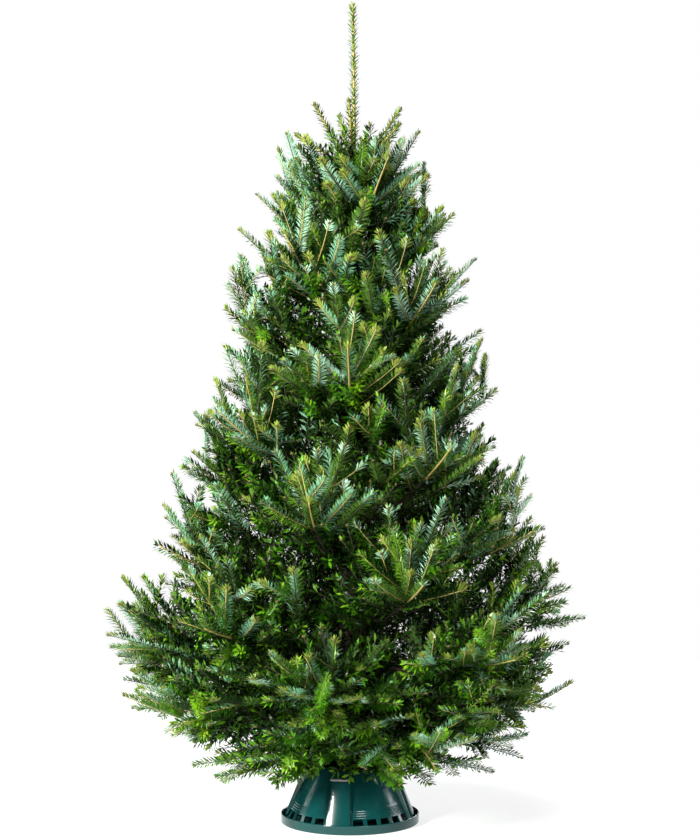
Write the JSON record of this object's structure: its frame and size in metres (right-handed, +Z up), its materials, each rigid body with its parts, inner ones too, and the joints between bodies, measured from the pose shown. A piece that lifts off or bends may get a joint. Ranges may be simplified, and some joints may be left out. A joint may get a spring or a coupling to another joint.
{
  "type": "christmas tree",
  "caption": "Cut fir for Christmas with an upright leader, rising boughs of short-needled shoots and see-through gaps, clamped in a low cone-shaped plastic stand.",
  "frame": {"origin": "centre of the stand's flat underside, on the floor", "axes": "+Z up along the trunk, -Y towards the front of the tree, +X to the right seen from the front"},
  "size_m": [1.0485, 1.0429, 1.819],
  "materials": {
    "plastic": "glossy moulded, dark green",
    "steel": "plain zinc-plated",
    "bark": "rough bark",
    "needles": "waxy needles, green above and silver below"
  },
  "bodies": {
    "root": {"stand_tray": "plastic", "stand_bucket": "plastic", "stand_skirt": "plastic", "clamp_screw_1": "steel", "clamp_screw_2": "steel", "clamp_screw_3": "steel", "clamp_screw_4": "steel", "trunk": "bark", "leader": "needles", "bough_01": "bark", "bough_02": "bark", "bough_03": "bark", "bough_04": "bark", "bough_05": "bark", "bough_06": "bark", "bough_07": "bark", "bough_08": "bark", "bough_09": "bark", "bough_10": "bark", "bough_11": "bark", "bough_12": "bark", "bough_13": "bark", "foliage_01": "needles", "foliage_02": "needles", "foliage_03": "needles", "foliage_04": "needles", "foliage_05": "needles", "foliage_06": "needles", "foliage_07": "needles", "foliage_08": "needles", "foliage_09": "needles", "foliage_10": "needles", "foliage_11": "needles", "foliage_12": "needles", "foliage_13": "needles", "foliage_14": "needles", "foliage_15": "needles", "foliage_16": "needles", "foliage_17": "needles", "foliage_18": "needles", "foliage_19": "needles", "foliage_20": "needles", "foliage_21": "needles", "foliage_22": "needles", "foliage_23": "needles", "foliage_24": "needles", "foliage_25": "needles", "foliage_26": "needles", "foliage_27": "needles", "foliage_28": "needles", "foliage_29": "needles", "foliage_30": "needles", "foliage_31": "needles", "foliage_32": "needles", "foliage_33": "needles", "foliage_34": "needles", "foliage_35": "needles", "foliage_36": "needles", "foliage_37": "needles", "foliage_38": "needles"}
  },
  "joints": []
}
